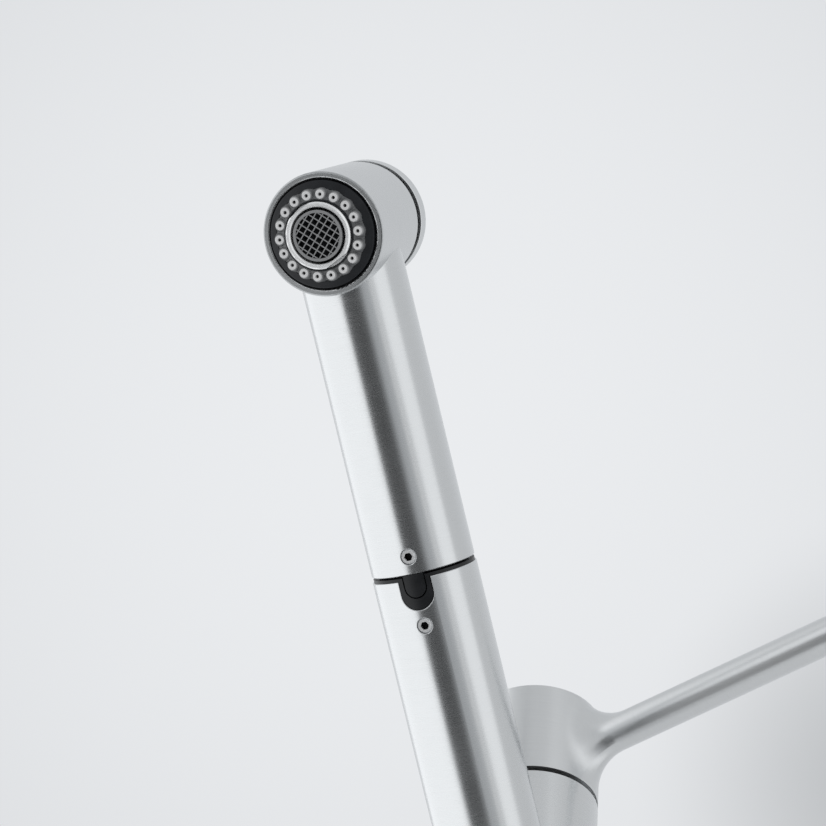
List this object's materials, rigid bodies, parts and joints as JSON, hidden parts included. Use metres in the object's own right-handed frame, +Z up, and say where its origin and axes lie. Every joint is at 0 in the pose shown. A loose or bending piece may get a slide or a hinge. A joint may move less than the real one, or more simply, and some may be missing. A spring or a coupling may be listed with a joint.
{
  "type": "pull-out spray kitchen faucet",
  "caption": "Kitchen mixer tap with a straight slanted spout, a pull-out spray handset docked in its top end, a side lever and a threaded shank for the worktop.",
  "frame": {"origin": "body axis at the worktop's surface, which is the underside of the base flange", "axes": "+Z up along the body axis, -Y towards the user along the spout's heading, +X towards the lever"},
  "size_m": [0.1524, 0.2525, 0.3479],
  "materials": {
    "brushed_metal": "satin, fine brushing around the tubes",
    "polished_metal": "bright",
    "black_plastic": "satin black",
    "face_black": "smooth black",
    "nozzle_rubber": "soft grey",
    "grille_plastic": "light grey",
    "brass": "machined",
    "zinc_steel": "zinc plated",
    "spring_steel": "drawn wire",
    "seal_rubber": "black",
    "inner_plastic": "moulded",
    "ceramic": "lapped ceramic"
  },
  "bodies": {
    "base": {"mounting_post": "brass", "base_flange": "brushed_metal", "base_gasket": "seal_rubber", "glide_ring": "black_plastic", "lower_bearing": "inner_plastic", "upper_bearing": "inner_plastic", "rubber_washer": "seal_rubber", "steel_washer": "zinc_steel", "fixing_nut": "zinc_steel"},
    "spout": {"body_column": "brushed_metal", "spout_tube": "brushed_metal", "dock_liner": "black_plastic", "dock_seal": "seal_rubber", "dock_set_screw": "polished_metal", "hose_guide": "black_plastic", "swivel_stop_screw": "polished_metal", "waterway_block": "brass", "cartridge_housing": "inner_plastic", "cartridge_plug": "inner_plastic", "cartridge_seals": "seal_rubber", "fixed_disc": "ceramic", "cartridge_nut": "brass", "dome_cover": "polished_metal", "seat_ring": "polished_metal"},
    "turret": {"cartridge_turret": "inner_plastic", "stem_pin": "zinc_steel"},
    "lever": {"cartridge_stem": "zinc_steel", "lever_handle": "brushed_metal", "stem_adapter": "zinc_steel", "lever_clamp_screw": "polished_metal", "screw_plug": "black_plastic"},
    "disc": {"disc_carrier": "inner_plastic", "moving_disc": "ceramic"},
    "handset": {"handset_shell": "brushed_metal", "spray_face": "face_black", "nozzle_ring": "nozzle_rubber", "aerator_ring": "polished_metal", "aerator_grille": "grille_plastic", "aerator_core": "black_plastic", "aerator_seal": "seal_rubber", "spray_body": "black_plastic", "rear_bulkhead": "black_plastic", "button_spring": "spring_steel", "water_tube": "inner_plastic", "docking_spigot": "black_plastic", "spigot_seal": "seal_rubber", "handset_set_screw": "polished_metal", "check_valve": "inner_plastic"},
    "button": {"diverter_button": "brushed_metal", "diverter_spindle": "inner_plastic", "spindle_seals": "seal_rubber"}
  },
  "joints": [
    {"name": "spout_swivel", "type": "hinge", "parent": "base", "child": "spout", "pos_m": [0, 0, 0], "axis": [0, 0, 1], "range_deg": [-70, 70]},
    {"name": "lever_turn", "type": "hinge", "parent": "spout", "child": "turret", "pos_m": [0, 0, 0.1647], "axis": [0, 0, 1], "range_deg": [-40, 60]},
    {"name": "lever_lift", "type": "hinge", "parent": "turret", "child": "lever", "pos_m": [0, 0, 0.1647], "axis": [-0.1736, -0.9848, 0], "range_deg": [0, 20]},
    {"name": "disc_slide", "type": "slide", "parent": "turret", "child": "disc", "axis": [0.9848, -0.1736, 0], "range_m": [0, 0.0052]},
    {"name": "handset_pull", "type": "slide", "parent": "spout", "child": "handset", "axis": [0, -0.766, 0.6428], "range_m": [0, 0.05]},
    {"name": "diverter_push", "type": "slide", "parent": "handset", "child": "button", "axis": [0, -0.6428, -0.766], "range_m": [0, 0.002], "stiffness_N_per_m": 600, "springref_m": -0.003, "deforming": ["button_spring"]}
  ],
  "couplings": [
    {"joint": "disc_slide", "follows": "lever_lift", "m_per_rad": 0.014}
  ]
}
